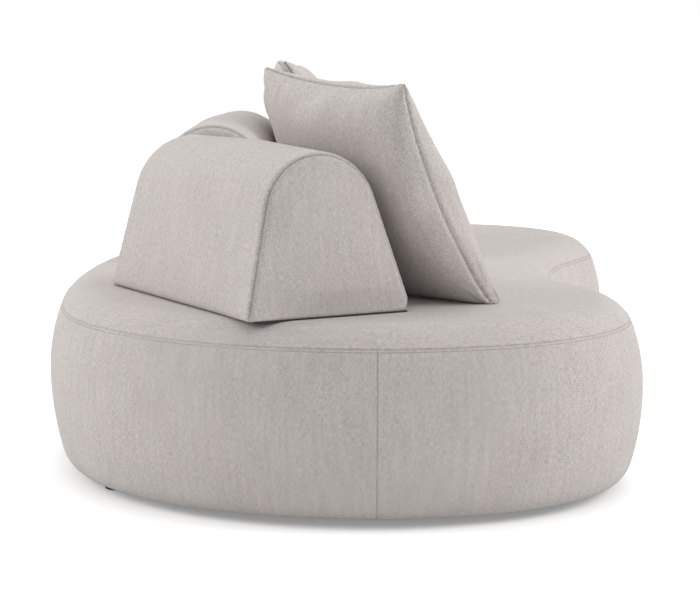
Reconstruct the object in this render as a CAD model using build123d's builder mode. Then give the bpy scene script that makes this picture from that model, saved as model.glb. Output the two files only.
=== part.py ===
from build123d import *
import math
import os

# A kidney-shaped island sofa: an upholstered base on low feet, two loose backrest blocks
# that stand on the seat, and two square pillows that lean on them.
# Millimetres. X runs along the sofa, the front with its notch faces -Y, Z is up.
# The origin is on the floor, under the middle of the base's outline.

# Driving dimensions of the base, seen from above
left_end_radius = 736
right_end_radius = 824
left_front_radius = 519
right_front_radius = 426
end_spacing = 668
right_end_forward = 31
left_front_angle = 33.2
right_front_angle = 2.0
back_radius = 2039
notch_radius = 924

# Driving dimensions of the base, seen from the side
seat_height = 420
floor_clearance = 20
widest_height = 228
shoulder_radius = 96
shoulder_inset = 112
lower_side_radius = 620
lower_corner_radius = 80
lower_edge_inset = 48
seam_height = 375

# Layers of the base
cover_thickness = 2
layer_gap = 0.3
join_overlap = 15
wadding_thickness = 10
board_thickness = 18
board_inset = 54
dust_cover_thickness = 1
dust_cover_edge = 22
staple_inset = 82
staple_pitch = 90
staple_width = 10
staple_thickness = 0.8
hem_width = 62
liner_thickness = 2
webbing_thickness = 2
webbing_width = 70
webbing_pitch_x = 150
webbing_pitch_y = 130
webbing_edge_inset = 112
webbing_height = 278

# Timber frame inside the base
rim_inset = 100
rim_thickness = 9
ring_width = 90
ring_thickness = 18
post_width = 44
post_gap = 1
rail_thickness = 22
rail_height = 150
long_rail_place = 120
cross_rail_shares = (-0.22, 0.2)

# Feet and screws
foot_radius = 28
foot_recess_radius = 10
foot_recess_depth = 7
foot_chamfer = 2
foot_screw_length = 30
foot_screw_radius = 2.5
screw_head_radius = 4.5
screw_head_height = 3
ring_screw_length = 50
ring_screw_radius = 2

# Vertical seams of the side cover and posts of the frame, each at an angle on an arc of the outline
side_seams = (("left_end", 190), ("left_front", 285), ("right_front", 275), ("right_end", 40), ("back", 98))
post_places = (
    ("left_end", 132),
    ("left_end", 172),
    ("left_end", 212),
    ("left_front", 262),
    ("notch", 108),
    ("notch", 72),
    ("right_front", 292),
    ("right_end", 358),
    ("right_end", 42),
    ("back", 88),
    ("back", 102),
)

# Feet, each at an angle on an arc of the outline and moved in by an inset
foot_places = (
    ("left_end", 126.5, 104),
    ("left_end", 168, 160),
    ("left_front", 225, 160),
    ("left_front", 282, 160),
    ("notch", 90, 120),
    ("right_front", 285, 160),
    ("right_end", 356, 160),
    ("right_end", 34, 160),
    ("back", 92, 160),
)

# Backrest blocks
backrest_length = 720
backrest_depth = 397
backrest_height = 343
backrest_top_radius = 136
backrest_crest_back = 10
backrest_crown = 8
backrest_end_slope = 6.24
backrest_front_corner_radius = 26
backrest_back_corner_radius = 9
backrest_wadding_thickness = 8
backrest_base_thickness = 2
backrest_board_thickness = 12
backrest_board_front = 44
backrest_board_back = 26
backrest_board_end = 24
weight_thickness = 8
weight_length = 460
weight_depth = 200
weight_screw_inset = 30
weight_screw_length = 14
weight_screw_radius = 2
weight_screw_head_radius = 4
weight_screw_head_height = 3

# Pillows
pillow_size = 542
pillow_thickness = 212
pillow_draw_in = 13
pillow_edge = 4
pillow_swell = 1
pillow_cover = 1.5
pillow_pad_gap = 0.8
pillow_zip_length = 340
pillow_zip_width = 7
pillow_zip_thickness = 1.2
pillow_zip_end = 60
pillow_slider_length = 14
pillow_slider_width = 6
pillow_slider_thickness = 2
pillow_seat_gap = 0.5
pillow_block_gap = 0.4
push_steps = 4

# Where each backrest stands, from the centre of an end of the base, and how its pillow leans on it
rest_gap = 0.3
places = {
    "left": dict(end="left_end", x=-276, y=205, turn=38.0, shift=-78, swing=4.9, lean=27.3, roll=2.3),
    "right": dict(end="right_end", x=-2, y=491, turn=5.5, shift=50, swing=8.0, lean=27.8, roll=-2.0),
}

# Shares of the pillow's height and, at each, its share of the crown
pillow_height_shares = (0, 0.05, 0.17, 0.34, 0.5, 0.66, 0.83, 0.95, 1)
pillow_crown_shares = (0, 0.33, 0.71, 0.94, 1, 0.94, 0.71, 0.33, 0)

os.makedirs("parts", exist_ok=True)


def write(piece, name):
    """Label a finished piece and write it under its name."""
    piece.label = name
    export_step(piece, f"parts/{name}.step")


def polar(centre, radius, angle):
    """The point at an angle, in degrees, on a circle."""
    turn = math.radians(angle)
    return centre + Vector(math.cos(turn), math.sin(turn)) * radius


def angle_to(start, end):
    """The angle, in degrees, of the line from one point to another."""
    line = end - start
    return math.degrees(math.atan2(line.Y, line.X))


def lower_centre(first, first_distance, second, second_distance):
    """The lower point that is at the given distances from two points."""
    line = second - first
    span = line.length
    along = (first_distance**2 - second_distance**2 + span**2) / (2 * span)
    aside = math.sqrt(first_distance**2 - along**2)
    unit = line.normalized()
    return first + unit * along + Vector(unit.Y, -unit.X) * aside


def outline_arcs(left):
    """The six tangent arcs of the outline, from the centre of its left end."""
    right = left + Vector(end_spacing, -right_end_forward)
    left_front = polar(left, left_end_radius - left_front_radius, 180 + left_front_angle)
    right_front = polar(right, right_end_radius - right_front_radius, -right_front_angle)
    back = lower_centre(left, back_radius - left_end_radius, right, back_radius - right_end_radius)
    notch = lower_centre(
        left_front, notch_radius + left_front_radius, right_front, notch_radius + right_front_radius
    )
    back_left = angle_to(back, left)
    back_right = angle_to(back, right)
    notch_left = angle_to(notch, left_front)
    notch_right = angle_to(notch, right_front)
    return {
        "left_end": (left, left_end_radius, back_left, 180 + left_front_angle),
        "left_front": (left_front, left_front_radius, 180 + left_front_angle, notch_left + 180),
        "notch": (notch, -notch_radius, notch_left, notch_right),
        "right_front": (right_front, right_front_radius, 180 + notch_right, 360 - right_front_angle),
        "right_end": (right, right_end_radius, -right_front_angle, back_right),
        "back": (back, back_radius, back_right, back_left),
    }


def outline_wire(arcs, inset):
    """Draw the closed outline, moved in by an inset, in the current line."""
    for centre, radius, start, end in arcs.values():
        CenterArc((centre.X, centre.Y), abs(radius - inset), start, end - start)


with BuildSketch() as raw_outline:
    with BuildLine():
        outline_wire(outline_arcs(Vector(0, 0)), 0)
    make_face()
raw_box = raw_outline.sketch.bounding_box()
left_centre = Vector(-raw_box.center().X, -raw_box.center().Y)
arcs = outline_arcs(left_centre)
outline_length = raw_box.size.X
outline_depth = raw_box.size.Y


def outline_point(place, inset):
    """The point on an arc of the outline, at an angle and moved in by an inset."""
    arc_name, angle = place
    centre, radius, start, end = arcs[arc_name]
    return polar(centre, abs(radius - inset), angle)


def outline_plane(place):
    """The upright plane square to the outline: its x is the way in and its y is up."""
    arc_name, angle = place
    centre, radius, start, end = arcs[arc_name]
    inward = polar(Vector(0, 0), -math.copysign(1, radius), angle)
    return Plane(origin=outline_point(place, 0), x_dir=inward, z_dir=inward.cross(Vector(0, 0, 1)))


def plate(inset, low, thickness):
    """A flat kidney-shaped plate in the current part."""
    with BuildSketch(Plane.XY.offset(low)) as face:
        with BuildLine():
            outline_wire(arcs, inset)
        make_face()
    extrude(face.sketch, amount=thickness)


def ring(outer_inset, inner_inset, low, thickness):
    """A flat kidney-shaped ring in the current part."""
    with BuildSketch(Plane.XY.offset(low)) as face:
        with BuildLine():
            outline_wire(arcs, outer_inset)
        make_face()
        with BuildLine():
            outline_wire(arcs, inner_inset)
        make_face(mode=Mode.SUBTRACT)
    extrude(face.sketch, amount=thickness)


def tangent_radius(small_radius, small_inset, rise):
    """The side radius that meets both the smaller arc and the upright at the widest height."""
    reach = rise - small_radius
    return (small_radius**2 - small_inset**2 - reach**2) / (2 * (small_radius - small_inset))


upper_rise = seat_height - widest_height
upper_side_radius = tangent_radius(shoulder_radius, shoulder_inset, upper_rise)
upper_side_angle = math.degrees(
    math.atan2(upper_rise - shoulder_radius, upper_side_radius - shoulder_inset)
)
lower_corner = lower_centre(
    Vector(lower_side_radius, widest_height),
    lower_side_radius - lower_corner_radius,
    Vector(lower_edge_inset, floor_clearance),
    lower_corner_radius,
)
lower_side_angle = angle_to(lower_corner, Vector(lower_side_radius, widest_height))
lower_end_angle = angle_to(Vector(lower_edge_inset, floor_clearance), lower_corner)


def side_profile(depth, mode):
    """The section of the base at a depth below its surface, in the current sketch."""
    reach = shoulder_inset + 2 * join_overlap
    with BuildLine() as edge:
        shoulder = CenterArc(
            (shoulder_inset, seat_height - shoulder_radius),
            shoulder_radius - depth,
            90,
            90 - upper_side_angle,
        )
        upper = CenterArc(
            (upper_side_radius, widest_height),
            upper_side_radius - depth,
            180 - upper_side_angle,
            upper_side_angle,
        )
        lower = CenterArc(
            (lower_side_radius, widest_height), lower_side_radius - depth, 180, lower_side_angle
        )
        corner = CenterArc(
            (lower_corner.X, lower_corner.Y),
            lower_corner_radius - depth,
            180 + lower_side_angle,
            lower_end_angle - lower_side_angle,
        )
        Polyline(corner @ 1, (reach, (corner @ 1).Y), (reach, (shoulder @ 0).Y), shoulder @ 0)
    make_face(edge.edges(), mode=mode)


def clipped_layer(plane, outer_depth, inner_depth, low, high, inner_inset):
    """One layer of the base in section: between two depths and two heights, as far in as an inset."""
    with BuildSketch(plane) as section:
        side_profile(outer_depth, Mode.ADD)
        if inner_depth:
            side_profile(inner_depth, Mode.SUBTRACT)
        with Locations((0, (low + high) / 2)):
            Rectangle(2 * inner_inset, high - low, mode=Mode.INTERSECT)
    return section.sketch


def outline_run(start, end):
    """Draw the surface outline from one place on it to another."""
    names = list(arcs)
    first = names.index(start[0])
    last = names.index(end[0])
    if last <= first:
        last += len(names)
    for step in range(first, last + 1):
        centre, radius, from_angle, to_angle = arcs[names[step % len(names)]]
        if step == first:
            from_angle = start[1]
        if step == last:
            to_angle = end[1]
        CenterArc((centre.X, centre.Y), abs(radius), from_angle, to_angle - from_angle)


def band(start, end, outer_depth, inner_depth, low, high, inner_inset):
    """Part of a layer of the base, swept from one place on the outline to another."""
    with BuildLine() as path:
        outline_run(start, end)
    section = clipped_layer(outline_plane(start), outer_depth, inner_depth, low, high, inner_inset)
    sweep(section, path=path.wire())


def hoop(outer_depth, inner_depth, low, high, inner_inset):
    """A layer of the base, swept all the way round."""
    with BuildLine() as path:
        outline_wire(arcs, 0)
    start = ("left_end", arcs["left_end"][2])
    section = clipped_layer(outline_plane(start), outer_depth, inner_depth, low, high, inner_inset)
    sweep(section, path=path.wire())


def spots(place_list, inset, height):
    """Locations at a height over places on the outline."""
    points = [outline_point(place, inset) for place in place_list]
    return Locations(*[(point.X, point.Y, height) for point in points])


def foot_spots(height):
    """Locations at a height over the feet."""
    return Locations(*[(point.X, point.Y, height) for point in foot_points])


# Places, levels and depths that follow from the sizes above
foot_points = [outline_point((arc_name, angle), inset) for arc_name, angle, inset in foot_places]
board_low = floor_clearance + cover_thickness
board_top = board_low + board_thickness
ring_low = webbing_height - ring_thickness
webbing_top = webbing_height + 2 * webbing_thickness
foam_low = webbing_top + liner_thickness
wadding_depth = cover_thickness + layer_gap
foam_depth = wadding_depth + wadding_thickness + layer_gap
foot_height = floor_clearance - dust_cover_thickness
side_low = board_top + layer_gap
side_high = foam_low - layer_gap
post_inset = rim_inset + rim_thickness + post_gap + post_width / 2
screw_hole = foot_screw_radius + layer_gap
ring_screw_hole = ring_screw_radius + layer_gap


# Feet, their screws and the boards that they carry

with BuildPart() as feet:
    with foot_spots(foot_height / 2):
        Cylinder(foot_radius, foot_height)
    chamfer(feet.edges().group_by(Axis.Z)[0], foot_chamfer)
    with foot_spots(foot_recess_depth / 2):
        Cylinder(foot_recess_radius, foot_recess_depth, mode=Mode.SUBTRACT)
    with foot_spots(foot_height / 2):
        Cylinder(screw_hole, foot_height, mode=Mode.SUBTRACT)
write(feet.part, "feet")

with BuildPart() as foot_screws:
    with foot_spots(foot_recess_depth - screw_head_height / 2):
        Cylinder(screw_head_radius, screw_head_height)
    with foot_spots(foot_recess_depth + foot_screw_length / 2):
        Cylinder(foot_screw_radius, foot_screw_length)
write(foot_screws.part, "foot_screws")

with BuildPart() as dust_cover:
    plate(board_inset + dust_cover_edge, foot_height, dust_cover_thickness)
    with foot_spots(foot_height):
        Cylinder(screw_hole, 2 * dust_cover_thickness, mode=Mode.SUBTRACT)
write(dust_cover.part, "dust_cover")

hanging = (Align.CENTER, Align.CENTER, Align.MAX)
staple_keep_out = foot_radius + staple_width
with BuildPart() as staples:
    for centre, radius, start, end in arcs.values():
        staple_radius = abs(radius - staple_inset)
        count = round(math.radians(abs(end - start)) * staple_radius / staple_pitch)
        for index in range(count):
            angle = start + (end - start) * (index + 1 / 2) / count
            point = polar(centre, staple_radius, angle)
            if min((point - foot).length for foot in foot_points) > staple_keep_out:
                with Locations(Location((point.X, point.Y, foot_height), (0, 0, angle))):
                    Box(staple_thickness, staple_width, staple_thickness, align=hanging)
write(staples.part, "dust_cover_staples")

with BuildPart() as base_board:
    plate(board_inset, board_low, board_thickness)
    with foot_spots(board_low):
        Cylinder(screw_hole, 2 * board_thickness, mode=Mode.SUBTRACT)
    with spots(post_places, post_inset, board_low):
        Cylinder(ring_screw_hole, 2 * board_thickness, mode=Mode.SUBTRACT)
        Cylinder(screw_head_radius + layer_gap, 2 * screw_head_height, mode=Mode.SUBTRACT)
write(base_board.part, "base_board")


# Timber frame

with BuildPart() as rim_wall:
    ring(rim_inset, rim_inset + rim_thickness, board_top, ring_low - board_top)
write(rim_wall.part, "rim_wall")

with BuildPart() as top_ring:
    ring(rim_inset, rim_inset + ring_width, ring_low, ring_thickness)
    with spots(post_places, post_inset, webbing_height):
        Cylinder(ring_screw_hole, 2 * ring_thickness, mode=Mode.SUBTRACT)
        Cylinder(screw_head_radius + layer_gap, 2 * screw_head_height, mode=Mode.SUBTRACT)
write(top_ring.part, "top_ring")


def post_feet(width, height):
    """Square columns of a given width and height on the board, one at each post, in the current part."""
    for place in post_places:
        inward = outline_plane(place).x_dir
        middle = outline_point(place, post_inset)
        with BuildSketch(Plane(origin=(middle.X, middle.Y, board_top), x_dir=inward)) as column:
            Rectangle(width, width)
        extrude(column.sketch, amount=height)


with BuildPart() as frame_posts:
    post_feet(post_width, ring_low - board_top)
    for level in (board_top, ring_low):
        with spots(post_places, post_inset, level):
            Cylinder(ring_screw_hole, 2 * ring_screw_length, mode=Mode.SUBTRACT)
write(frame_posts.part, "frame_posts")

for name, head_level, way in (("board_screws", board_low, 1), ("ring_screws", webbing_height, -1)):
    with BuildPart() as screws:
        with spots(post_places, post_inset, head_level + way * screw_head_height / 2):
            Cylinder(screw_head_radius, screw_head_height)
        with spots(post_places, post_inset, head_level + way * ring_screw_length / 2):
            Cylinder(ring_screw_radius, ring_screw_length)
    write(screws.part, name)

cross_rail_places = [share * outline_length for share in cross_rail_shares]

with BuildPart() as post_rooms:
    post_feet(post_width + 2 * post_gap, rail_height)

with BuildPart() as cross_rails:
    plate(rim_inset + rim_thickness + layer_gap, board_top, rail_height)
    with Locations(*[(x, 0, board_top) for x in cross_rail_places]):
        Box(rail_thickness, 2 * outline_depth, 2 * rail_height, mode=Mode.INTERSECT)
    add(post_rooms.part, mode=Mode.SUBTRACT)
write(cross_rails.part, "cross_rails")

with BuildPart() as long_rails:
    plate(rim_inset + rim_thickness + layer_gap, board_top, rail_height)
    with Locations((0, long_rail_place, board_top)):
        Box(2 * outline_length, rail_thickness, 2 * rail_height, mode=Mode.INTERSECT)
    with Locations(*[(x, 0, board_top) for x in cross_rail_places]):
        Box(rail_thickness, 2 * outline_depth, 2 * rail_height, mode=Mode.SUBTRACT)
    add(post_rooms.part, mode=Mode.SUBTRACT)
write(long_rails.part, "long_rails")


# Seat suspension and padding

strap_rows = int(outline_depth / webbing_pitch_y)
strap_columns = int(outline_length / webbing_pitch_x)

with BuildPart() as straps_lengthwise:
    plate(webbing_edge_inset, webbing_height, webbing_thickness)
    with Locations((0, 0, webbing_height)):
        with GridLocations(0, webbing_pitch_y, 1, strap_rows):
            Box(2 * outline_length, webbing_width, 2 * webbing_thickness, mode=Mode.INTERSECT)
write(straps_lengthwise.part, "webbing_lengthwise")

with BuildPart() as straps_crosswise:
    plate(webbing_edge_inset, webbing_height + webbing_thickness, webbing_thickness)
    with Locations((0, 0, webbing_top)):
        with GridLocations(webbing_pitch_x, 0, strap_columns, 1):
            Box(webbing_width, 2 * outline_depth, 2 * webbing_thickness, mode=Mode.INTERSECT)
write(straps_crosswise.part, "webbing_crosswise")

with BuildPart() as liner:
    plate(rim_inset, webbing_top, liner_thickness)
write(liner.part, "webbing_liner")

with BuildPart() as seat_foam:
    hoop(foam_depth, 0, foam_low, seat_height, shoulder_inset + join_overlap)
    plate(shoulder_inset, foam_low, seat_height - foam_depth - foam_low)
write(seat_foam.part, "seat_foam")

with BuildPart() as seat_wadding:
    hoop(wadding_depth, foam_depth - layer_gap, foam_low, seat_height, shoulder_inset + join_overlap)
    plate(shoulder_inset, seat_height - foam_depth + layer_gap, wadding_thickness)
write(seat_wadding.part, "seat_wadding")

with BuildPart() as side_wadding:
    hoop(wadding_depth, foam_depth - layer_gap, side_low, side_high, rim_inset)
write(side_wadding.part, "side_wadding")

foam_inner_inset = rim_inset - layer_gap
panel_ends = side_seams[1:] + side_seams[:1]
for number, (start, end) in enumerate(zip(side_seams, panel_ends), 1):
    with BuildPart() as side_foam:
        band(start, end, foam_depth, 0, side_low, side_high, foam_inner_inset)
    write(side_foam.part, f"side_foam_{number}")


# Cover of the base: one top panel, and a side band of five panels hemmed under the board

with BuildPart() as top_cover:
    hoop(0, cover_thickness, seam_height, seat_height, shoulder_inset + join_overlap)
    plate(shoulder_inset, seat_height - cover_thickness, cover_thickness)
write(top_cover.part, "top_cover")

hem_inset = lower_edge_inset + hem_width
for number, (start, end) in enumerate(zip(side_seams, panel_ends), 1):
    with BuildPart() as side_cover:
        band(start, end, 0, cover_thickness, floor_clearance, seam_height, hem_inset)
        with foot_spots(floor_clearance):
            Cylinder(screw_hole, 2 * cover_thickness, mode=Mode.SUBTRACT)
    write(side_cover.part, f"side_cover_{number}")


# Backrest blocks: a weighted board, foam, wadding, a sewn cover and a non-slip base

def tangent_point(foot, centre, radius, side):
    """Where the line from a foot touches a circle, on its left for +1 and its right for -1."""
    line = centre - foot
    reach = math.sqrt(line.length**2 - radius**2)
    lean = math.degrees(math.asin(radius / line.length))
    return polar(foot, reach, angle_to(foot, centre) + side * lean)


def block_section(height, depth):
    """The block's section at a depth below its surface: sloped sides under a round crest."""
    front_foot = Vector(-backrest_depth / 2, 0)
    back_foot = Vector(backrest_depth / 2, 0)
    centre = Vector(backrest_crest_back, height - backrest_top_radius)
    front = tangent_point(front_foot, centre, backrest_top_radius, 1)
    back = tangent_point(back_foot, centre, backrest_top_radius, -1)
    with BuildLine() as edge:
        Line(front_foot, front)
        ThreePointArc(front, (backrest_crest_back, height), back)
        Polyline(back, back_foot, front_foot)
    with BuildSketch() as section:
        make_face(edge.edges())
        front_corner = section.vertices().group_by(Axis.Y)[0].sort_by(Axis.X)[0]
        fillet(front_corner, backrest_front_corner_radius)
        back_corner = section.vertices().group_by(Axis.Y)[0].sort_by(Axis.X)[-1]
        fillet(back_corner, backrest_back_corner_radius)
        if depth:
            offset(amount=-depth)
    return section.sketch


def block_plane(place):
    """The level plane under a block: x along its ridge, y to its back."""
    turn = math.radians(place["turn"])
    middle = arcs[place["end"]][0] + Vector(place["x"], place["y"])
    return Plane(
        origin=(middle.X, middle.Y, seat_height + rest_gap),
        x_dir=(math.cos(turn), math.sin(turn), 0),
    )


def block_end(base, end, depth):
    """The leaning plane of a block's end, at a depth below its surface."""
    slope = math.radians(backrest_end_slope)
    reach = backrest_length / 2 - depth / math.cos(slope)
    outward = base.x_dir * end * math.cos(slope) + base.z_dir * math.sin(slope)
    return Plane(origin=base.origin + base.x_dir * end * reach, z_dir=outward)


def block(base, depth):
    """The form of a block lofted through three sections, at a depth below its surface."""
    sections = []
    for share in (-1, 0, 1):
        height = backrest_height + backrest_crown * (1 - abs(share))
        origin = base.origin + base.x_dir * share * backrest_length / 2
        across = Plane(origin=origin, x_dir=base.y_dir, z_dir=base.x_dir)
        sections.append(across * block_section(height, depth))
    with BuildPart() as body:
        loft(sections)
        for end in (-1, 1):
            split(bisect_by=block_end(base, end, depth), keep=Keep.BOTTOM)
    return body.part


def slab(base, x_size, front, back, low, thickness, mode=Mode.ADD):
    """A rectangular slab in a block, between two distances from its middle line."""
    with BuildSketch(base.offset(low)) as face:
        with Locations((0, (back - front) / 2)):
            Rectangle(x_size, front + back)
    extrude(face.sketch, amount=thickness, mode=mode)


def studs(top, radius, length, mode=Mode.ADD):
    """Four round studs down from a plane, where the weight is screwed to its board."""
    with BuildSketch(top) as circles:
        with GridLocations(
            weight_length - 2 * weight_screw_inset, weight_depth - 2 * weight_screw_inset, 2, 2
        ):
            Circle(radius)
    extrude(circles.sketch, amount=-length, mode=mode)


def build_backrest(side):
    base = block_plane(places[side])
    floor_plane = base.offset(backrest_base_thickness)
    form = block_forms[side]
    foam_form = block(base, wadding_depth + backrest_wadding_thickness + layer_gap)
    inner_low = backrest_base_thickness
    board_length = backrest_length - 2 * backrest_board_end
    board_front = backrest_depth / 2 - backrest_board_front
    board_back = backrest_depth / 2 - backrest_board_back
    board_room = (
        base,
        board_length + 2 * layer_gap,
        board_front + layer_gap,
        board_back + layer_gap,
        0,
        inner_low + backrest_board_thickness + layer_gap,
    )
    weight_low = inner_low + backrest_board_thickness
    weight_side = weight_depth / 2
    weight_room = (
        base,
        weight_length + 2 * layer_gap,
        weight_side + layer_gap,
        weight_side + layer_gap,
        weight_low,
        weight_thickness + layer_gap,
    )
    screw_top = base.offset(weight_low + weight_thickness)
    hole_radius = weight_screw_radius + layer_gap
    head_room = weight_screw_head_radius + layer_gap

    with BuildPart() as base_cloth:
        add(form)
        split(bisect_by=floor_plane, keep=Keep.BOTTOM)
    write(base_cloth.part, f"{side}_backrest_base")

    with BuildPart() as board:
        slab(base, board_length, board_front, board_back, inner_low, backrest_board_thickness)
        studs(screw_top, hole_radius, weight_screw_length, Mode.SUBTRACT)
    write(board.part, f"{side}_backrest_board")

    with BuildPart() as weight:
        slab(base, weight_length, weight_side, weight_side, weight_low, weight_thickness)
        studs(screw_top, hole_radius, weight_thickness, Mode.SUBTRACT)
        studs(screw_top, head_room, weight_screw_head_height, Mode.SUBTRACT)
    write(weight.part, f"{side}_backrest_weight")

    with BuildPart() as screws:
        studs(screw_top, weight_screw_radius, weight_screw_length)
        studs(screw_top, weight_screw_head_radius, weight_screw_head_height)
    write(screws.part, f"{side}_backrest_screws")

    with BuildPart() as foam:
        add(foam_form)
        slab(*board_room, mode=Mode.SUBTRACT)
        slab(*weight_room, mode=Mode.SUBTRACT)
    write(foam.part, f"{side}_backrest_foam")

    with BuildPart() as wadding:
        add(block(base, wadding_depth))
        add(block(base, wadding_depth + backrest_wadding_thickness), mode=Mode.SUBTRACT)
        slab(*board_room, mode=Mode.SUBTRACT)
    write(wadding.part, f"{side}_backrest_wadding")

    with BuildPart() as strip:
        add(form)
        add(block(base, cover_thickness), mode=Mode.SUBTRACT)
        split(bisect_by=floor_plane, keep=Keep.TOP)
        for end in (-1, 1):
            split(bisect_by=block_end(base, end, cover_thickness), keep=Keep.BOTTOM)
    write(strip.part, f"{side}_backrest_cover")

    for end, end_name in ((-1, "left"), (1, "right")):
        with BuildPart() as end_cover:
            add(form)
            split(bisect_by=floor_plane, keep=Keep.TOP)
            split(bisect_by=block_end(base, end, cover_thickness), keep=Keep.TOP)
        write(end_cover.part, f"{side}_backrest_{end_name}_end")


block_forms = {side: block(block_plane(place), 0) for side, place in places.items()}
for side in places:
    build_backrest(side)


# Pillows: a knife-edged cover of two panels over a stuffed pad, closed by a zip underneath

def pillow_plane(place, standoff):
    """The plane of a pillow: x along its lower edge, y up its face, z out of its front."""
    block_base = block_plane(place)
    turn = math.radians(place["turn"] + place["swing"])
    lean = math.radians(place["lean"])
    roll = math.radians(place["roll"])
    level = Vector(math.cos(turn), math.sin(turn), 0)
    backward = Vector(-math.sin(turn), math.cos(turn), 0)
    rise = Vector(0, 0, 1) * math.cos(lean) + backward * math.sin(lean)
    x_dir = level * math.cos(roll) + rise * math.sin(roll)
    y_dir = rise * math.cos(roll) - level * math.sin(roll)
    corner_drop = abs(math.sin(roll)) * math.cos(lean) * pillow_size / 2
    foot = block_base.origin + block_base.x_dir * place["shift"]
    foot -= block_base.y_dir * (backrest_depth / 2 + standoff)
    lift = corner_drop + (pillow_edge + pillow_swell) * math.sin(lean) + pillow_seat_gap - rest_gap
    return Plane(origin=foot + Vector(0, 0, lift), x_dir=x_dir, z_dir=x_dir.cross(y_dir))


def pillow_half(base, inset, way, mode=Mode.ADD):
    """One half of a pillow, at an inset from its surface: its front for way +1, its back for -1."""
    sections = []
    for height_share, crown_share in zip(pillow_height_shares, pillow_crown_shares):
        height = inset + (pillow_size - 2 * inset) * height_share
        drawn_in = pillow_draw_in * (1 - (2 * height_share - 1) ** 2)
        half_width = pillow_size / 2 - drawn_in - inset
        edge = way * (pillow_edge - inset)
        crown = edge + way * (pillow_swell + pillow_crown * crown_share)
        with BuildLine() as line:
            Polyline((-half_width, edge), (-half_width, 0), (half_width, 0), (half_width, edge))
            ThreePointArc((half_width, edge), (0, crown), (-half_width, edge))
        with BuildSketch() as section:
            make_face(line.edges())
        across = Plane(
            origin=base.origin + base.y_dir * height, x_dir=base.x_dir, z_dir=-base.y_dir
        )
        sections.append(across * section.sketch)
    loft(sections, mode=mode)


def resting_plane(side):
    """The plane of a pillow that is pushed back, from well clear, until it meets its block."""
    standoff = pillow_thickness
    for _ in range(push_steps):
        plane = pillow_plane(places[side], standoff)
        with BuildPart() as back_half:
            pillow_half(plane, 0, -1)
        standoff -= back_half.part.distance_to(block_forms[side]) - pillow_block_gap
    return pillow_plane(places[side], standoff)


def build_pillow(side):
    base = resting_plane(side)
    for way, face_name in ((1, "front"), (-1, "back")):
        with BuildPart() as panel:
            pillow_half(base, 0, way)
            pillow_half(base, pillow_cover, way, Mode.SUBTRACT)
        write(panel.part, f"{side}_pillow_{face_name}")

    with BuildPart() as pad:
        pillow_half(base, pillow_cover + pillow_pad_gap, 1)
        pillow_half(base, pillow_cover + pillow_pad_gap, -1)
    write(pad.part, f"{side}_pillow_pad")

    raised_side = math.copysign(1, places[side]["roll"])
    zip_middle = raised_side * (pillow_size / 2 - pillow_zip_end - pillow_zip_length / 2)
    slider_rest = zip_middle - raised_side * (pillow_zip_length / 2 - pillow_slider_length)
    below = Plane(origin=base.origin, x_dir=base.x_dir, z_dir=-base.y_dir)
    with BuildPart() as zip_strip:
        with BuildSketch(below) as strip_face:
            with Locations((zip_middle, 0)):
                Rectangle(pillow_zip_length, pillow_zip_width)
        extrude(strip_face.sketch, amount=pillow_zip_thickness)
    write(zip_strip.part, f"{side}_pillow_zip")

    with BuildPart() as slider:
        with BuildSketch(below.offset(pillow_zip_thickness)) as slider_face:
            with Locations((slider_rest, 0)):
                Rectangle(pillow_slider_length, pillow_slider_width)
        extrude(slider_face.sketch, amount=pillow_slider_thickness)
    write(slider.part, f"{side}_pillow_slider")


pillow_crown = pillow_thickness / 2 - pillow_edge - pillow_swell
for side in places:
    build_pillow(side)
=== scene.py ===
import math

import bpy
import numpy as np
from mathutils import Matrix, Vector


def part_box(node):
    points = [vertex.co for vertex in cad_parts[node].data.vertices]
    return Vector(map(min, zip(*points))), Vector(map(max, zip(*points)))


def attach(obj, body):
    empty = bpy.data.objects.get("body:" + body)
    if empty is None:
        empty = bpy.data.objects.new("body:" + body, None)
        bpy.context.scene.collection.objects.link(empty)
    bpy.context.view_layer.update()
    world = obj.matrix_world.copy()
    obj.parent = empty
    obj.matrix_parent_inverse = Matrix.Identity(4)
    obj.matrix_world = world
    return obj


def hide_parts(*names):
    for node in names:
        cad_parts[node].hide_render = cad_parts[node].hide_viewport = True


# A kidney-shaped island sofa with two loose backrest blocks and two leaning pillows.
# Metres. X runs along the sofa, the front with its notch faces -Y, Z is up.

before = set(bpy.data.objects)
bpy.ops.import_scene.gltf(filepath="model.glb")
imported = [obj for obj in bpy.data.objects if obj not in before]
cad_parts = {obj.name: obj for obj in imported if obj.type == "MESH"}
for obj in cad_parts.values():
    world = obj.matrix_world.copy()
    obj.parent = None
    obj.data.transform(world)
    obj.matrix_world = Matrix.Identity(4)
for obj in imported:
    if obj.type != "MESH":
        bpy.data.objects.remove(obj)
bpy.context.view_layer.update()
UP = np.array([0.0, 0.0, 1.0])

# The base, seen from above
LEFT_END_RADIUS = 0.736
RIGHT_END_RADIUS = 0.824
LEFT_FRONT_RADIUS = 0.519
RIGHT_FRONT_RADIUS = 0.426
END_SPACING = 0.668
RIGHT_END_FORWARD = 0.031
LEFT_FRONT_ANGLE = 33.2
RIGHT_FRONT_ANGLE = 2.0
BACK_RADIUS = 2.039
NOTCH_RADIUS = 0.924

# The base, seen from the side
SEAT_HEIGHT = 0.420
BOTTOM_EDGE = 0.020
WIDEST_HEIGHT = 0.228
SHOULDER_RADIUS = 0.096
SHOULDER_INSET = 0.112
LOWER_SIDE_RADIUS = 0.620
LOWER_CORNER_RADIUS = 0.080
LOWER_EDGE_INSET = 0.048
HEM_WIDTH = 0.062
SEAM_HEIGHT = 0.375
SIDE_SEAMS = (("left_end", 190), ("left_front", 285), ("right_front", 275), ("right_end", 40), ("back", 98))

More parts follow.
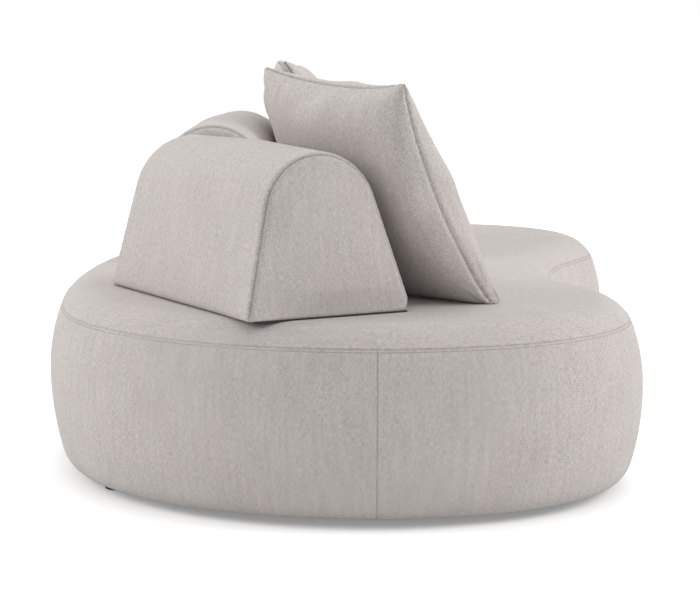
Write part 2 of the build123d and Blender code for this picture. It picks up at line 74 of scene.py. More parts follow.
# The base's meshes, and the slow unevenness of its padding
CURVE_STEP = 0.001
CORNER_STEP = 0.0005
ROW_STEP = 0.010
COLUMN_STEP = 0.0065
PADDING_SWELL = 0.0009
PADDING_WAVES = (9, 14, 23)
PANEL_WEAVE_SHIFT = 0.37
SEAT_MIDDLE = (0.0, 0.12)
SEAT_RINGS = 60
SEAT_RING_POWER = 0.8
SEAT_SINK = 0.0006
SEAT_WAVES = (3, 4, 7)
SEAT_WAVE_TWIST = 3

# Seams of the base: each is a groove between two low rolls of cloth
SEAM_STEP = 0.0007
SEAM_REACH = 0.011
SEAM_DEPTH = 0.0017
SEAM_WIDTH = 0.0014
SEAM_ROLL_ABOVE = 0.0011
SEAM_ROLL_BELOW = 0.0007
SEAM_ROLL_REACH = 0.0042
SEAM_ROLL_WIDTH = 0.003
SEAM_PUCKER = 0.00035
SEAM_PUCKER_WIDTH = 0.012
SEAM_PUCKER_WAVES = (281, 397, 463)
SIDE_SEAM_DEPTH = 0.0019
SIDE_SEAM_WIDTH = 0.0011
SIDE_SEAM_ROLL = 0.0006
SIDE_SEAM_ROLL_REACH = 0.004
SIDE_SEAM_ROLL_WIDTH = 0.0025

# Painted shade in the seams: how much the cloth's colour is darkened there to stand in for the shadow in
# each seam's groove, and how far from the seam that reaches
SEAM_SHADE_WIDTH = 0.0013
SIDE_SEAM_SHADE = 0.08
BLOCK_SEAM_SHADE = 0.52
PILLOW_SEAM_SHADE = 0.42

# Topstitching below the shoulder seam; each stitch is a thread with both its ends sunk into the cloth
TOPSTITCH_DROP = 0.0064
TOPSTITCH_DEPTH = 0.0019
TOPSTITCH_WIDTH = 0.0011
STITCH_LENGTH = 0.0048
STITCH_PITCH = 0.0062
THREAD_RADIUS = 0.00045
THREAD_SIDES = 6
STITCH_LENGTH_SHARES = np.array([-0.5, -0.42, -0.2, 0.2, 0.42, 0.5])
STITCH_RADIUS_SHARES = np.array([0.2, 0.8, 1.0, 1.0, 0.8, 0.2])
STITCH_RISE_SHARES = np.array([-1.6, -0.6, 0.0, 0.0, -0.6, -1.6])

# Backrest blocks
BLOCK_LENGTH = 0.720
BLOCK_DEPTH = 0.397
BLOCK_HEIGHT = 0.343
BLOCK_TOP_RADIUS = 0.136
BLOCK_CREST_BACK = 0.010
BLOCK_CROWN = 0.008
BLOCK_END_SLOPE = 6.24
BLOCK_FRONT_CORNER = 0.026
BLOCK_BACK_CORNER = 0.012
BLOCK_BASE_THICKNESS = 0.002
BLOCK_END_SWELL = 0.014
BLOCK_SWELL_WIDTH = 0.20
BLOCK_SWELL_HEIGHT = 0.21
BLOCK_SWELL_FOOT = 0.06
BLOCK_SWELL_POWER = 1.5
BLOCK_WRINKLE = 0.0005
BLOCK_WRINKLE_REACH = 0.05
BLOCK_WRINKLE_WAVES = (31, 43, 57)
BLOCK_WRINKLE_FOOT = 0.01

# Seams at a block's ends, and the rows and rings of its meshes
BLOCK_RIM = 0.0088
BLOCK_LIP_DROP = 0.0028
BLOCK_LIP_REACH = 0.012
BLOCK_SEAM_DEPTH = 0.0042
BLOCK_SEAM_WIDTH = 0.0022
BLOCK_SEAM_INSET = BLOCK_LIP_DROP + BLOCK_SEAM_DEPTH
BLOCK_SEAM_ROWS = np.array([
    0, 0.0005, 0.001, 0.0015, 0.002, 0.0026, 0.0034, 0.0045, 0.006, 0.008, 0.010, 0.012, 0.016, 0.022
])
BLOCK_END_ZONE = 0.045
BLOCK_ROWS = 34
BLOCK_COLUMNS = 200
BLOCK_RINGS = 34
BLOCK_LAST_RING_SHARE = 0.97
BLOCK_CENTRE_SHARE = 0.42

# Pillows: their size, and how the blocks and pillows are turned
PILLOW_SIZE = 0.542
PILLOW_THICKNESS = 0.212
PILLOW_ZIP_MIDDLE = 0.041
PILLOW_ZIP_THICKNESS = 0.0012
PLACES = {
    "left": dict(turn=38.0, swing=4.9, lean=27.3, roll=2.3),
    "right": dict(turn=5.5, swing=8.0, lean=27.8, roll=-2.0),
}
CLEARANCE = 0.0008

# Pillows: the two panels before they are stuffed, and the cloth simulation that stuffs them
PILLOW_CELLS = 48
PILLOW_EDGE_CELL = 0.006
PILLOW_CUT = 0.556
PILLOW_START_SHARE = 0.75
PILLOW_DRAW_IN = 0.030
PILLOW_FULLNESS = 2.6
PILLOW_FRAMES = 20
PILLOW_RELAX = 16
PILLOW_CLOTH = dict(
    quality=6,
    mass=0.25,
    air_damping=2,
    tension_stiffness=45,
    compression_stiffness=45,
    shear_stiffness=15,
    bending_stiffness=12,
    tension_damping=8,
    compression_damping=8,
    bending_damping=1,
    use_pressure=True,
    uniform_pressure_force=5,
)

# Pillows: their shape once stuffed, with shares of their size
PILLOW_SIDE_SAG = 0.020
PILLOW_TOP_SAG = 0.026
PILLOW_SAG_POWER = 2.2
PILLOW_CORNER_SHARE = 0.98
PILLOW_FOOT_SHARE = 0.995
PILLOW_FOOT_FADE_SHARE = 0.6
PILLOW_BEND = 0.024
PILLOW_BEND_POWER = 4
PILLOW_EAR_RADIUS = 0.014
PILLOW_FRONT_SLUMP = 0.40
PILLOW_BACK_SLUMP = 0.02
PILLOW_BELLY_START = 0.018
PILLOW_BELLY_END = 0.17
PILLOW_BELLY_POWER = 5

# Pillows: their seam, a groove between two soft ridges, and the puckers along it
PILLOW_GROOVE_DEPTH = 0.0034
PILLOW_GROOVE_WIDTH = 0.0014
PILLOW_RIDGE = 0.0010
PILLOW_RIDGE_INSET = 0.0050
PILLOW_RIDGE_WIDTH = 0.0028
PILLOW_PUCKER = 0.0017
PILLOW_PUCKER_REACH = 0.030
PILLOW_PUCKER_WAVES = (13, 19, 24)
PILLOW_PUCKER_MIDDLE_SHARE = 0.25
PILLOW_PUCKER_CORNER = 0.012

# The herringbone cloth, and its heather: stretch, scale, roughness and weight of each noise
TWILL_PITCH = 0.0062
CHEVRON_WIDTH = 0.0150
YARN_PITCH = 0.0019
CLOTH_DARK = (0.372, 0.337, 0.318)
CLOTH_LIGHT = (0.667, 0.622, 0.600)
# The colour of the painted shadow that darkens the cloth along its seams
PAINTED_SEAM_SHADOW = (0.10, 0.09, 0.085)
TWILL_TONE = 0.23
TWILL_RELIEF = 0.5
YARN_RELIEF = 0.18
HEATHER_RELIEF = 0.8
CLOTH_RELIEF = 0.00045
WARP_HEATHER = ((1.0, 0.25, 1.0), 420, 0.6, 1.55)
WEFT_HEATHER = ((0.35, 1.0, 1.0), 380, 0.6, 1.1)
SLUBS = ((1.0, 0.12, 1.0), 90, 0.5, 0.45)
CLOUDS = ((1.0, 1.0, 1.0), 7, 0.5, 0.2)

# The studio: a white floor and a soft world
FLOOR_SIZE = 28.0
FLOOR_DROP = 0.0005
FLOOR_TONE = 0.93
FLOOR_GLOW = {"From Min": 1.0, "From Max": 2.2, "To Min": 0.25, "To Max": 0.60}
WORLD_LIGHT = 0.63

# The camera of the photograph
CAMERA_PLACE = (-5.71406368, -0.91884845, 1.1123944)
CAMERA_HEADING = (0.98671902, 0.16243637)
CAMERA_PITCH = 7.6587
CAMERA_LENS = 120.857
SENSOR_WIDTH = 36


# Curves: each is sampled finely once, and read at any distance along it

def arc_points(centre, radius, start, end, step=CURVE_STEP):
    """Points and outward normals of an arc between two angles in degrees."""
    count = max(3, round(abs(math.radians(end - start)) * radius / step))
    angles = np.radians(np.linspace(start, end, count))
    normals = np.stack([np.cos(angles), np.sin(angles)], axis=1)
    return np.asarray(centre) + normals * radius, normals


def line_points(start, end, normal, step=CURVE_STEP):
    """Points of a straight run, with one normal."""
    start, end = np.asarray(start, float), np.asarray(end, float)
    count = max(2, round(np.linalg.norm(end - start) / step))
    points = start + (end - start) * np.linspace(0, 1, count)[:, None]
    return points, np.tile(np.asarray(normal, float), (count, 1))


class Curve:
    """A plane curve that gives its point and normal at any distance along it."""

    def __init__(self, *runs):
        points = np.concatenate([run[0] for run in runs])
        normals = np.concatenate([run[1] for run in runs])
        gaps = np.linalg.norm(np.diff(points, axis=0), axis=1)
        keep = np.concatenate([[True], gaps > 1e-7])
        self.points, self.normals = points[keep], normals[keep]
        gaps = np.linalg.norm(np.diff(self.points, axis=0), axis=1)
        self.distance = np.concatenate([[0], np.cumsum(gaps)])
        self.length = self.distance[-1]

    def at(self, distance):
        """Points and unit normals at the given distances."""
        point = np.stack([np.interp(distance, self.distance, part) for part in self.points.T], axis=-1)
        normal = np.stack([np.interp(distance, self.distance, part) for part in self.normals.T], axis=-1)
        return point, normal / np.linalg.norm(normal, axis=-1, keepdims=True)

    def nearest(self, point):
        """The distance along the curve of the sample nearest to a point."""
        gaps = np.linalg.norm(self.points - np.asarray(point), axis=1)
        return self.distance[np.argmin(gaps)]


def polar(centre, radius, angle):
    turn = math.radians(angle)
    return np.asarray(centre, float) + np.array([math.cos(turn), math.sin(turn)]) * radius


def angle_to(start, end):
    line = np.asarray(end) - np.asarray(start)
    return math.degrees(math.atan2(line[1], line[0]))


def lower_centre(first, first_distance, second, second_distance):
    """The lower point that is at the given distances from two points."""
    line = np.asarray(second) - np.asarray(first)
    span = np.linalg.norm(line)
    along = (first_distance**2 - second_distance**2 + span**2) / (2 * span)
    aside = math.sqrt(first_distance**2 - along**2)
    unit = line / span
    return np.asarray(first) + unit * along + np.array([unit[1], -unit[0]]) * aside


def outline_arcs(left):
    """The six tangent arcs of the outline: centre, radius, outward sign, start and end angle."""
    left = np.asarray(left, float)
    right = left + np.array([END_SPACING, -RIGHT_END_FORWARD])
    left_front = polar(left, LEFT_END_RADIUS - LEFT_FRONT_RADIUS, 180 + LEFT_FRONT_ANGLE)
    right_front = polar(right, RIGHT_END_RADIUS - RIGHT_FRONT_RADIUS, -RIGHT_FRONT_ANGLE)
    back = lower_centre(left, BACK_RADIUS - LEFT_END_RADIUS, right, BACK_RADIUS - RIGHT_END_RADIUS)
    notch = lower_centre(
        left_front, NOTCH_RADIUS + LEFT_FRONT_RADIUS, right_front, NOTCH_RADIUS + RIGHT_FRONT_RADIUS
    )
    back_left, back_right = angle_to(back, left), angle_to(back, right)
    notch_left, notch_right = angle_to(notch, left_front), angle_to(notch, right_front)
    return {
        "left_end": (left, LEFT_END_RADIUS, 1, back_left, 180 + LEFT_FRONT_ANGLE),
        "left_front": (left_front, LEFT_FRONT_RADIUS, 1, 180 + LEFT_FRONT_ANGLE, notch_left + 180),
        "notch": (notch, NOTCH_RADIUS, -1, notch_left, notch_right),
        "right_front": (right_front, RIGHT_FRONT_RADIUS, 1, 180 + notch_right, 360 - RIGHT_FRONT_ANGLE),
        "right_end": (right, RIGHT_END_RADIUS, 1, -RIGHT_FRONT_ANGLE, back_right),
        "back": (back, BACK_RADIUS, 1, back_right, back_left),
    }


def outline_curve(arcs):
    runs = []
    for centre, radius, sign, start, end in arcs.values():
        points, normals = arc_points(centre, radius, start, end)
        runs.append((points, normals * sign))
    return Curve(*runs)


def side_curve():
    """The base's side from the seat's flat top to its bottom edge: inset and height."""
    rise = SEAT_HEIGHT - WIDEST_HEIGHT
    reach = rise - SHOULDER_RADIUS
    inset = SHOULDER_INSET
    upper_radius = (SHOULDER_RADIUS**2 - inset**2 - reach**2) / (2 * (SHOULDER_RADIUS - inset))
    upper_angle = math.degrees(math.atan2(reach, upper_radius - inset))
    foot = np.array([LOWER_EDGE_INSET, BOTTOM_EDGE])
    side_centre = np.array([LOWER_SIDE_RADIUS, WIDEST_HEIGHT])
    corner = lower_centre(side_centre, LOWER_SIDE_RADIUS - LOWER_CORNER_RADIUS, foot, LOWER_CORNER_RADIUS)
    lower_angle = angle_to(corner, side_centre)
    end_angle = angle_to(foot, corner)
    hem_end = (LOWER_EDGE_INSET + HEM_WIDTH, BOTTOM_EDGE)
    return Curve(
        arc_points((inset, SEAT_HEIGHT - SHOULDER_RADIUS), SHOULDER_RADIUS, 90, 180 - upper_angle),
        arc_points((upper_radius, WIDEST_HEIGHT), upper_radius, 180 - upper_angle, 180),
        arc_points(side_centre, LOWER_SIDE_RADIUS, 180, 180 + lower_angle),
        arc_points(corner, LOWER_CORNER_RADIUS, 180 + lower_angle, 180 + end_angle),
        line_points(foot + np.array([SEAM_STEP, 0]), hem_end, (0, -1)),
    )


raw = outline_curve(outline_arcs((0, 0))).points
ARCS = outline_arcs(-(raw.max(axis=0) + raw.min(axis=0)) / 2)
OUTLINE = outline_curve(ARCS)
SIDE = side_curve()
upper = len(SIDE.points) // 2
SEAM_DISTANCE = np.interp(-SEAM_HEIGHT, -SIDE.points[:upper, 1], SIDE.distance[:upper])


# Meshes

def graded(start, end, coarse, marks=()):
    """Distances from start to end: coarse, but fine within a seam's reach of each mark."""
    count = max(2, round((end - start) / coarse) + 1)
    values = np.linspace(start, end, count)
    for mark in marks:
        values = values[np.abs(values - mark) > SEAM_REACH]
        near = mark + np.arange(-SEAM_REACH, SEAM_REACH + SEAM_STEP / 2, SEAM_STEP)
        values = np.concatenate([values, near[(near > start) & (near < end)]])
    values = np.concatenate([[start, end], values])
    return np.unique(np.round(values, 6))


def grid_faces(rows, columns, wrap=False):
    """Quads between the vertices of a grid, numbered row by row."""
    row = np.arange(rows - 1)[:, None] * columns
    column = np.arange(columns if wrap else columns - 1)[None, :]
    after = (column + 1) % columns
    quads = [row + column, row + after, row + columns + after, row + columns + column]
    return np.stack(np.broadcast_arrays(*quads), axis=-1).reshape(-1, 4)


def new_object(name, data):
    item = bpy.data.objects.new(name, data)
    bpy.context.scene.collection.objects.link(item)
    return item


def make_piece(name, points, faces, weave, material):
    """A smooth mesh object with weave coordinates in metres, one pair per vertex or per face corner."""
    mesh = bpy.data.meshes.new(name)
    mesh.from_pydata(points.reshape(-1, 3).tolist(), [], [list(map(int, face)) for face in faces])
    layer = mesh.uv_layers.new(name="weave")
    corners = np.empty(len(mesh.loops), int)
    mesh.loops.foreach_get("vertex_index", corners)
    pairs = weave.reshape(-1, 2)
    if len(pairs) != len(corners):
        pairs = pairs[corners]
    layer.data.foreach_set("uv", pairs.astype(np.float32).ravel())
    mesh.materials.append(material)
    mesh.polygons.foreach_set("use_smooth", np.ones(len(mesh.polygons), bool))
    mesh.update()
    return new_object(name, mesh)


def rows_of(values, field):
    """A vector that a mesh has for each vertex, one row each."""
    result = np.empty(len(values) * 3, np.float32)
    values.foreach_get(field, result)
    return result.reshape(-1, 3)


def ridge(distance, height, width):
    """A soft ridge, highest where the distance is nothing."""
    return height * np.exp(-((distance / width) ** 2))


def groove(distance, depth, width):
    return -ridge(distance, depth, width)


def waves(distance, length, counts):
    """A slow irregular wave of about one unit: sines that each fit a closed length a number of times."""
    total = 0
    for index, count in enumerate(counts):
        total = total + np.sin(2 * math.pi * (distance / length * count + index / len(counts)))
    return total / len(counts)


def paint_seam_shade(mesh, distance, strength):
    """Note on a mesh how much painted seam shadow each vertex gets: most at the seam, then nothing."""
    painted_shade = ridge(np.maximum(distance, 0), strength, SEAM_SHADE_WIDTH)
    noted = mesh.attributes.new("painted_seam_shade", "FLOAT", "POINT")
    noted.data.foreach_set("value", painted_shade.astype(np.float32).ravel())


# Materials

def set_inputs(tree, node, inputs):
    """Set each named socket to a number or a colour, or join it to another node's output."""
    for name, value in inputs.items():
        if isinstance(value, bpy.types.NodeSocket):
            tree.links.new(value, node.inputs[name])
        else:
            node.inputs[name].default_value = value


def add_node(tree, kind, inputs, **settings):
    """The outputs of a new node."""
    node = tree.nodes.new(f"ShaderNode{kind}")
    for name, value in settings.items():
        setattr(node, name, value)
    set_inputs(tree, node, inputs)
    return node.outputs


def calc(tree, operation, *values):
    return add_node(tree, "Math", dict(enumerate(values)), operation=operation)[0]


def noise(tree, vector, scale, detail=2.0, roughness=0.5):
    inputs = {"Vector": vector, "Scale": scale, "Detail": detail, "Roughness": roughness}
    return add_node(tree, "TexNoise", inputs)["Fac"]


def stretched(tree, vector, scale):
    return add_node(tree, "Mapping", {"Vector": vector, "Scale": scale})[0]


def blend(tree, factor, first, second):
    """A colour between two, each a colour or a socket."""
    first, second = ((*colour, 1) if isinstance(colour, tuple) else colour for colour in (first, second))
    return add_node(tree, "Mix", {"Factor": factor, "A": first, "B": second}, data_type="RGBA")["Result"]


def shade(tree, value, dark, light, low=0.0, high=1.0):
    """A colour between dark and light, by a value between low and high."""
    share = add_node(tree, "MapRange", {"Value": value, "From Min": low, "From Max": high})[0]
    return blend(tree, share, dark, light)


def new_material(name):
    material = bpy.data.materials.new(name)
    material.use_nodes = True
    tree = material.node_tree
    return material, tree, tree.nodes["Principled BSDF"]


def bump(tree, shader, height, distance):
    normal = add_node(tree, "Bump", {"Distance": distance, "Height": height})[0]
    set_inputs(tree, shader, {"Normal": normal})


def herringbone_cloth(name):
    """Heather greige upholstery cloth: a herringbone of pale and darker yarns, with painted shade darkening
    it along the seams.
    """
    material, tree, shader = new_material(name)
    weave = add_node(tree, "UVMap", {}, uv_map="weave")[0]
    across, along, _ = add_node(tree, "SeparateXYZ", {0: weave})

    folded = calc(tree, "PINGPONG", across, CHEVRON_WIDTH)
    column = calc(tree, "FLOOR", calc(tree, "DIVIDE", across, CHEVRON_WIDTH))
    half_step = calc(tree, "MULTIPLY", calc(tree, "MODULO", column, 2.0), 0.5)
    phase = calc(tree, "ADD", calc(tree, "DIVIDE", calc(tree, "ADD", folded, along), TWILL_PITCH), half_step)
    twill = calc(tree, "SINE", calc(tree, "MULTIPLY", phase, 2 * math.pi))
    yarn = calc(tree, "SINE", calc(tree, "MULTIPLY", across, 2 * math.pi / YARN_PITCH))

    grains = []
    tone = calc(tree, "MULTIPLY_ADD", twill, TWILL_TONE, 0.5)
    for stretch, scale, roughness, weight in (WARP_HEATHER, WEFT_HEATHER, SLUBS, CLOUDS):
        grain = noise(tree, stretched(tree, weave, stretch), scale, roughness=roughness)
        grains.append(grain)
        tone = calc(tree, "ADD", tone, calc(tree, "MULTIPLY", calc(tree, "SUBTRACT", grain, 0.5), weight))
    woven = shade(tree, tone, CLOTH_DARK, CLOTH_LIGHT)
    # Painted shade: the base colour is blended towards a dark colour where the mesh notes seam shadow
    seam = add_node(tree, "Attribute", {}, attribute_name="painted_seam_shade")["Fac"]
    finish = {
        "Base Color": blend(tree, seam, woven, PAINTED_SEAM_SHADOW),
        "Roughness": 0.92,
        "Specular IOR Level": 0.18,
        "Sheen Weight": 0.16,
        "Sheen Roughness": 0.45,
    }
    set_inputs(tree, shader, finish)

    height = calc(tree, "MULTIPLY", twill, TWILL_RELIEF)
    for value, relief in ((yarn, YARN_RELIEF), (grains[0], HEATHER_RELIEF)):
        height = calc(tree, "ADD", height, calc(tree, "MULTIPLY", value, relief))
    bump(tree, shader, height, CLOTH_RELIEF)
    return material


def grained(name, dark, light, scale, roughness, stretch=(1, 1, 1), metallic=0.0, depth=0.0002):
    """A material of two tones in a stretched grain, in the object's own coordinates."""
    material, tree, shader = new_material(name)
    place = add_node(tree, "TexCoord", {})["Object"]
    grain = noise(tree, stretched(tree, place, stretch), scale, detail=4.0, roughness=0.6)
    colour = shade(tree, grain, dark, light, low=0.3, high=0.7)
    set_inputs(tree, shader, {"Base Color": colour, "Roughness": roughness, "Metallic": metallic})
    bump(tree, shader, grain, depth)
    return material


def dotted(name, ground, dot, pitch, radius, roughness, depth=0.0004):
    """Cloth with a square grid of raised dots."""
    material, tree, shader = new_material(name)
    place = add_node(tree, "TexCoord", {})["Object"]
    squares = [
        calc(tree, "POWER", calc(tree, "SUBTRACT", calc(tree, "PINGPONG", axis, pitch / 2), pitch / 4), 2.0)
        for axis in add_node(tree, "SeparateXYZ", {0: place})[:2]
    ]
    distance = calc(tree, "SQRT", calc(tree, "ADD", *squares))
    raised = calc(tree, "DIVIDE", radius, calc(tree, "ADD", distance, radius / 10))
    raised = calc(tree, "SMOOTH_MIN", raised, 2.0, 0.5)
    colour = shade(tree, raised, ground, dot, low=0.8, high=1.2)
    set_inputs(tree, shader, {"Base Color": colour, "Roughness": roughness})
    bump(tree, shader, raised, depth)
    return material


cloth = herringbone_cloth("herringbone_cloth")
thread = grained("thread", (0.40, 0.37, 0.345), (0.60, 0.565, 0.54), 2500, 0.7)


# The base: five side panels between vertical seams, and a top panel that rolls over the shoulder

def surface(s, t, lift):
    """Points of the base's surface, at distances round the outline and down the side."""
    point, outward = OUTLINE.at(s % OUTLINE.length)
    place, normal = SIDE.at(t)
    flat = point[None, :, :] - outward[None, :, :] * place[:, None, None, 0]
    xy = flat - outward[None, :, :] * (normal[:, None, None, 0] * lift[:, :, None])
    z = place[:, None, 1] + normal[:, None, 1] * lift
    return np.concatenate([xy, z[:, :, None]], axis=2)


def outline_distance(arc_name, angle):
    centre, radius = ARCS[arc_name][:2]
    return OUTLINE.nearest(polar(centre, radius, angle))


def seam_lift(s, t):
    """How far the cloth rises or sinks at the seam round the shoulder and at its topstitching."""
    below = (t - SEAM_DISTANCE)[:, None]
    pucker = waves(s, OUTLINE.length, SEAM_PUCKER_WAVES)[None, :]
    roll = np.where(below < 0, SEAM_ROLL_ABOVE, SEAM_ROLL_BELOW)
    lift = groove(below, SEAM_DEPTH, SEAM_WIDTH)
    lift = lift + ridge(np.abs(below) - SEAM_ROLL_REACH, roll, SEAM_ROLL_WIDTH)
    lift = lift + groove(below - TOPSTITCH_DROP, TOPSTITCH_DEPTH, TOPSTITCH_WIDTH)
    return lift + ridge(below, SEAM_PUCKER * pucker, SEAM_PUCKER_WIDTH)


def soft_lift(s, t):
    """Slow unevenness of the padding under the cloth."""
    round_wave = waves(s, OUTLINE.length, PADDING_WAVES)[None, :]
    down_wave = np.sin(t / SIDE.length * 2 * math.pi)[:, None]
    return PADDING_SWELL * round_wave * down_wave


def side_panel(number, start, end):
    """One panel of the side band, from one vertical seam to the next."""
    if end < start:
        end += OUTLINE.length
    s = graded(start, end, COLUMN_STEP, (start, end))
    t = graded(SEAM_DISTANCE, SIDE.length, ROW_STEP, (SEAM_DISTANCE, SEAM_DISTANCE + TOPSTITCH_DROP))
    edge = np.minimum(s - start, end - s)[None, :]
    lift = seam_lift(s, t) + soft_lift(s, t) + groove(edge, SIDE_SEAM_DEPTH, SIDE_SEAM_WIDTH)
    lift = lift + ridge(edge - SIDE_SEAM_ROLL_REACH, SIDE_SEAM_ROLL, SIDE_SEAM_ROLL_WIDTH)
    under = np.clip((t - (SIDE.length - HEM_WIDTH)) / HEM_WIDTH, 0, 1)[:, None]
    points = surface(s, t, lift * (1 - under))
    weave = np.stack(np.broadcast_arrays(s[None, :] + number * PANEL_WEAVE_SHIFT, -t[:, None]), axis=2)
    piece = make_piece(f"side_panel_{number}", points, grid_faces(len(t), len(s)), weave, cloth)
    # Painted shade: the cloth is darkened a little beside the vertical seams, for their shadow
    paint_seam_shade(piece.data, np.tile(edge, (len(t), 1)), SIDE_SEAM_SHADE)
    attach(piece, "root")
    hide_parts(f"side_cover_{number}", f"side_foam_{number}")


def seat_panel():
    """The top panel: a flat middle in shrinking rings, and the shoulder down to its seam."""
    s = np.linspace(0, OUTLINE.length, round(OUTLINE.length / COLUMN_STEP), endpoint=False)
    t = graded(0, SEAM_DISTANCE, ROW_STEP, (SEAM_DISTANCE,))
    shoulder = surface(s, t, seam_lift(s, t) + soft_lift(s, t))
    outer, outward = OUTLINE.at(s)
    inner = outer - outward * SHOULDER_INSET
    middle = np.array(SEAT_MIDDLE)
    shares = np.linspace(0, 1, SEAT_RINGS)[1:-1] ** SEAT_RING_POWER
    flat = middle + (inner[None] - middle) * shares[:, None, None]
    angle = np.arctan2(flat[..., 1], flat[..., 0]) + SEAT_WAVE_TWIST * shares[:, None]
    sink = SEAT_SINK * np.abs(waves(angle, 2 * math.pi, SEAT_WAVES)) * (1 - shares[:, None] ** 4)
    rings = np.concatenate([flat, (SEAT_HEIGHT - sink)[..., None]], axis=2)
    weave_edge = inner[None] + outward[None] * t[:, None, None]

    points = np.concatenate([*rings, *shoulder, [[*middle, SEAT_HEIGHT]]])
    weave = np.concatenate([*flat, *weave_edge, [middle]])
    centre = len(points) - 1
    fan = [[centre, (i + 1) % len(s), i] for i in range(len(s))]
    faces = grid_faces(len(shares) + len(t), len(s), wrap=True).tolist() + fan
    piece = make_piece("seat_panel", points, faces, weave, cloth)
    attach(piece, "root")
    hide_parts("top_cover", "seat_foam", "seat_wadding", "side_wadding")


def stitch(middle):
    """The rings of points of one stitch, at a distance round the outline."""
    s = middle + STITCH_LENGTH_SHARES * STITCH_LENGTH
    t = np.array([SEAM_DISTANCE + TOPSTITCH_DROP])
    rise = THREAD_RADIUS * (STITCH_RISE_SHARES + 0.5) - TOPSTITCH_DEPTH
    axis = surface(s, t, rise[None])[0]
    out = surface(s, t, rise[None] + 1)[0] - axis
    ahead = np.cross(out, UP)
    down = np.cross(out, ahead / np.linalg.norm(ahead, axis=1, keepdims=True))
    turns = 2 * math.pi * np.arange(THREAD_SIDES)[:, None] / THREAD_SIDES
    spokes = out[:, None] * np.cos(turns) + down[:, None] * np.sin(turns)
    return axis[:, None] + spokes * (THREAD_RADIUS * STITCH_RADIUS_SHARES)[:, None, None]


def topstitching():
    """The row of stitches just under the seam round the shoulder, one small thread loop each."""
    count = round(OUTLINE.length / STITCH_PITCH)
    rings = len(STITCH_LENGTH_SHARES)
    ring = list(range(THREAD_SIDES))
    one = grid_faces(rings, THREAD_SIDES, wrap=True).tolist()
    one += [ring[::-1], [(rings - 1) * THREAD_SIDES + side for side in ring]]
    middles = (np.arange(count) + 0.5) / count * OUTLINE.length
    points = np.array([stitch(middle) for middle in middles]).reshape(-1, 3)
    firsts = rings * THREAD_SIDES * np.arange(count)
    faces = [[first + corner for corner in face] for first in firsts for face in one]
    piece = make_piece("topstitching", points, faces, points[:, :2], thread)
    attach(piece, "root")


seams = [outline_distance(*place) for place in SIDE_SEAMS]
for number, (start, end) in enumerate(zip(seams, seams[1:] + seams[:1]), 1):
    side_panel(number, start, end)
seat_panel()
topstitching()


# Backrest blocks

def tangent_point(foot, centre, radius, side):
    """Where a line from a foot touches a circle, on the circle's left side or right side."""
    line = np.asarray(centre) - np.asarray(foot)
    reach = math.sqrt(line @ line - radius**2)
    lean = math.degrees(math.asin(radius / np.linalg.norm(line)))
    return polar(foot, reach, angle_to(foot, centre) + side * lean)


def rounded_corner(before, corner, after, radius):
    """The arc that rounds a corner between two points: its centre and its two tangent points."""
    first = (before - corner) / np.linalg.norm(before - corner)
    second = (after - corner) / np.linalg.norm(after - corner)
    half = math.acos(float(first @ second)) / 2
    reach = radius / math.tan(half)
    bisector = (first + second) / np.linalg.norm(first + second)
    return corner + bisector * radius / math.sin(half), corner + first * reach, corner + second * reach


def block_section(height):
    """The block's section from the middle of its underside round its front, crest and back."""
    front_foot, back_foot = np.array([-BLOCK_DEPTH / 2, 0]), np.array([BLOCK_DEPTH / 2, 0])
    crest = np.array([BLOCK_CREST_BACK, height - BLOCK_TOP_RADIUS])
    front = tangent_point(front_foot, crest, BLOCK_TOP_RADIUS, 1)
    back = tangent_point(back_foot, crest, BLOCK_TOP_RADIUS, -1)
    middle = np.zeros(2)
    front_centre, front_low, front_high = rounded_corner(middle, front_foot, front, BLOCK_FRONT_CORNER)
    back_centre, back_high, back_low = rounded_corner(back, back_foot, middle, BLOCK_BACK_CORNER)
    front_angle, back_angle = angle_to(crest, front), angle_to(crest, back)
    return Curve(
        line_points(middle, front_low, (0, -1)),
        arc_points(front_centre, BLOCK_FRONT_CORNER, 270, front_angle % 360, CORNER_STEP),
        line_points(front_high, front, polar((0, 0), 1, front_angle)),
        arc_points(crest, BLOCK_TOP_RADIUS, front_angle, back_angle),
        line_points(back, back_high, polar((0, 0), 1, back_angle)),
        arc_points(back_centre, BLOCK_BACK_CORNER, back_angle, -90, CORNER_STEP),
        line_points(back_low, middle, (0, -1)),
    )


class Block:
    """Where a backrest block stands, and its local axes."""

    def __init__(self, side):
        low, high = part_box(f"{side}_backrest_base")
        turn = math.radians(PLACES[side]["turn"])
        self.origin = np.array([(low.x + high.x) / 2, (low.y + high.y) / 2, low.z])
        self.along = np.array([math.cos(turn), math.sin(turn), 0])
        self.back = np.array([-math.sin(turn), math.cos(turn), 0])

    def world(self, x, y, z):
        return self.origin + x[..., None] * self.along + y[..., None] * self.back + z[..., None] * UP

    def local(self, points):
        offset = points - self.origin
        return offset @ self.along, offset @ self.back, offset @ UP


def end_reach(z):
    """Half the block's length at a height, since its ends lean inwards."""
    return BLOCK_LENGTH / 2 - z * math.tan(math.radians(BLOCK_END_SLOPE))


def end_swell(y, z, depth):
    """How far an end panel bulges: most at its middle, nothing at its seam and its foot."""
    off_centre = (y / BLOCK_SWELL_WIDTH) ** 2
    off_centre = off_centre + ((z - BLOCK_HEIGHT * BLOCK_CENTRE_SHARE) / BLOCK_SWELL_HEIGHT) ** 2
    within = min((depth - BLOCK_SEAM_INSET) / BLOCK_SWELL_FOOT, 1) * np.clip(z / BLOCK_SWELL_FOOT, 0, 1)
    return BLOCK_END_SWELL * np.clip(1 - off_centre, 0, 1) ** BLOCK_SWELL_POWER * within


